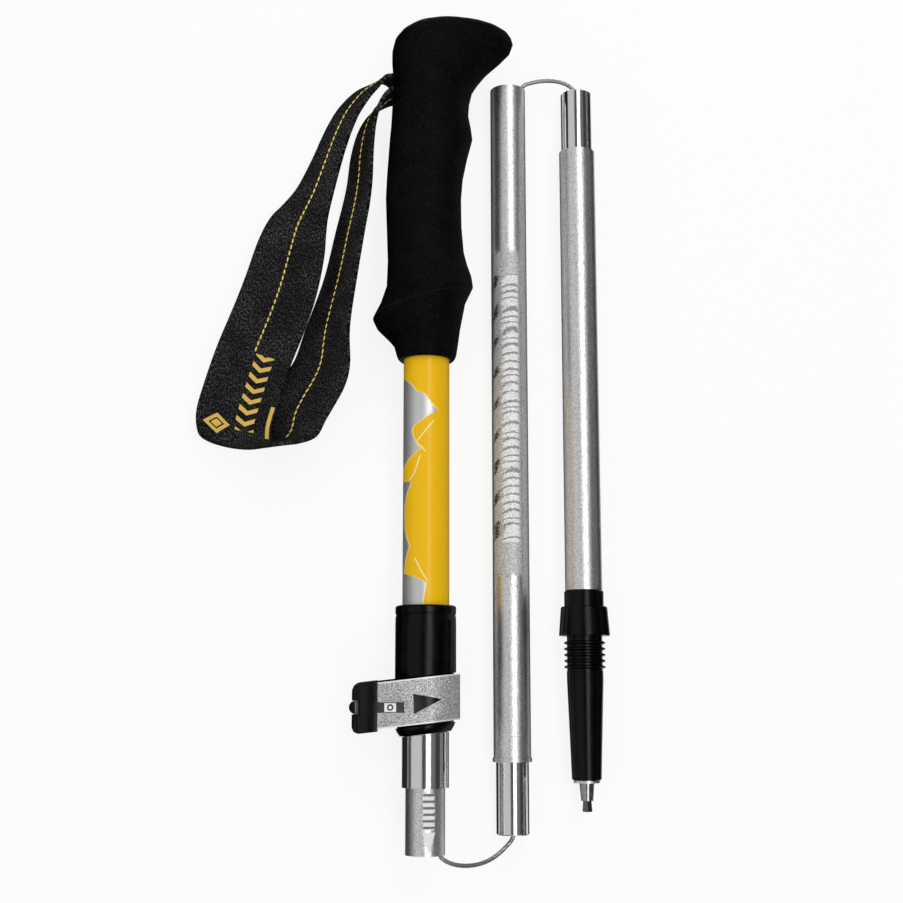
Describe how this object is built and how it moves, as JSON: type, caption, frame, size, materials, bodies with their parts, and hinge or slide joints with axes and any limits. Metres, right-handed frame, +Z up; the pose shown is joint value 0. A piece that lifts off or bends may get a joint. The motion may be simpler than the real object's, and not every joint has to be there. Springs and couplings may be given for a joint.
{
  "type": "folding trekking pole",
  "caption": "Folding trekking pole with a foam grip, wrist strap, lever clamp and corded aluminium sections, folded flat with its tip beside the handle.",
  "frame": {"origin": "on the lowest line of the middle tube, at half the tube's length; the pole lies on the surface 0.4 mm below", "axes": "+Y along the folded columns towards the grip's head, +X across them towards the tip section, +Z up from the surface that the pole lies on"},
  "size_m": [0.1801, 0.3721, 0.0429],
  "materials": {
    "grip_foam": "closed-cell foam, matt black",
    "black_plastic": "moulded, fine texture",
    "webbing": "woven and heathered, with yellow stitch lines",
    "yellow_paint": "amber yellow paint over aluminium, with silver patches",
    "satin_aluminium": "satin anodised",
    "polished_aluminium": "polished",
    "lever_silver": "silver metallic lacquer, speckled",
    "steel": "plain",
    "cord_steel": "stranded, clear plastic coat",
    "natural_plastic": "natural, unpainted"
  },
  "bodies": {
    "handle": {"grip_foam": "grip_foam", "strap_anchor": "black_plastic", "strap_pin": "steel", "handle_tube": "yellow_paint", "handle_tube_plug": "black_plastic", "clamp_body": "black_plastic", "clamp_bolt": "steel", "lever_pivot_pin": "steel", "cam_plate": "steel"},
    "strap": {"wrist_strap": "webbing"},
    "lever": {"lever_core": "black_plastic", "lever_cover": "lever_silver"},
    "nut": {"tension_nut": "black_plastic"},
    "extension": {"extension_tube": "satin_aluminium", "extension_bush": "natural_plastic", "extension_end_sleeve": "polished_aluminium"},
    "lower_section": {"lower_tube": "satin_aluminium", "lower_tube_bush": "natural_plastic", "cord_anchor": "steel", "lower_cord_run": "cord_steel", "button_spring": "steel"},
    "button": {"snap_button": "steel"},
    "lower_link": {"lower_cord_arc": "cord_steel"},
    "middle_section": {"middle_tube": "satin_aluminium", "middle_end_ring": "polished_aluminium", "middle_ferrule": "polished_aluminium", "middle_grommet": "black_plastic", "middle_cord_run": "cord_steel"},
    "upper_link": {"upper_cord_arc": "cord_steel"},
    "tip_section": {"tip_tube": "satin_aluminium", "tip_ferrule": "polished_aluminium", "tip_grommet": "black_plastic", "tip_cord_run": "cord_steel", "cord_plug": "natural_plastic", "cord_end_crimp": "steel", "tip_sleeve": "black_plastic", "tip_washer": "polished_aluminium", "tip_holder": "steel", "carbide_point": "steel"}
  },
  "joints": [
    {"name": "strap_swing", "type": "hinge", "parent": "handle", "child": "strap", "pos_m": [-0.0436, 0.1458, 0.0211], "axis": [0, 0, 1], "range_deg": [-11, 4]},
    {"name": "lever_open", "type": "hinge", "parent": "handle", "child": "lever", "pos_m": [-0.062, -0.12961, 0.0296], "axis": [0, -1, 0], "range_deg": [0, 130]},
    {"name": "tension_adjust", "type": "hinge", "parent": "handle", "child": "nut", "pos_m": [-0.062, -0.12961, -0.0004], "axis": [0, 0, 1], "range_deg": [-180, 180]},
    {"name": "extension_slide", "type": "slide", "parent": "handle", "child": "extension", "axis": [0, -1, 0], "range_m": [0, 0.2]},
    {"name": "lower_slide", "type": "slide", "parent": "extension", "child": "lower_section", "axis": [0, -1, 0], "range_m": [0, 0.086]},
    {"name": "button_press", "type": "slide", "parent": "lower_section", "child": "button", "axis": [0, 0, -1], "range_m": [0, 0.001], "stiffness_N_per_m": 500, "deforming": ["button_spring"]},
    {"name": "fold_lower", "type": "hinge", "parent": "lower_section", "child": "lower_link", "pos_m": [-0.0184, -0.19187, 0.01454], "axis": [-0.336, 0, -0.9419], "range_deg": [0, 180], "deforming": ["lower_cord_arc"]},
    {"name": "plug_lower", "type": "slide", "parent": "lower_link", "child": "middle_section", "axis": [0, -1, 0], "range_m": [0, 0.0417]},
    {"name": "fold_upper", "type": "hinge", "parent": "middle_section", "child": "upper_link", "pos_m": [0.01565, 0.1541, 0.00922], "axis": [-0.0794, 0, 0.9968], "range_deg": [0, 180], "deforming": ["upper_cord_arc"]},
    {"name": "plug_upper", "type": "slide", "parent": "upper_link", "child": "tip_section", "axis": [0, 1, 0], "range_m": [0, 0.038]}
  ]
}
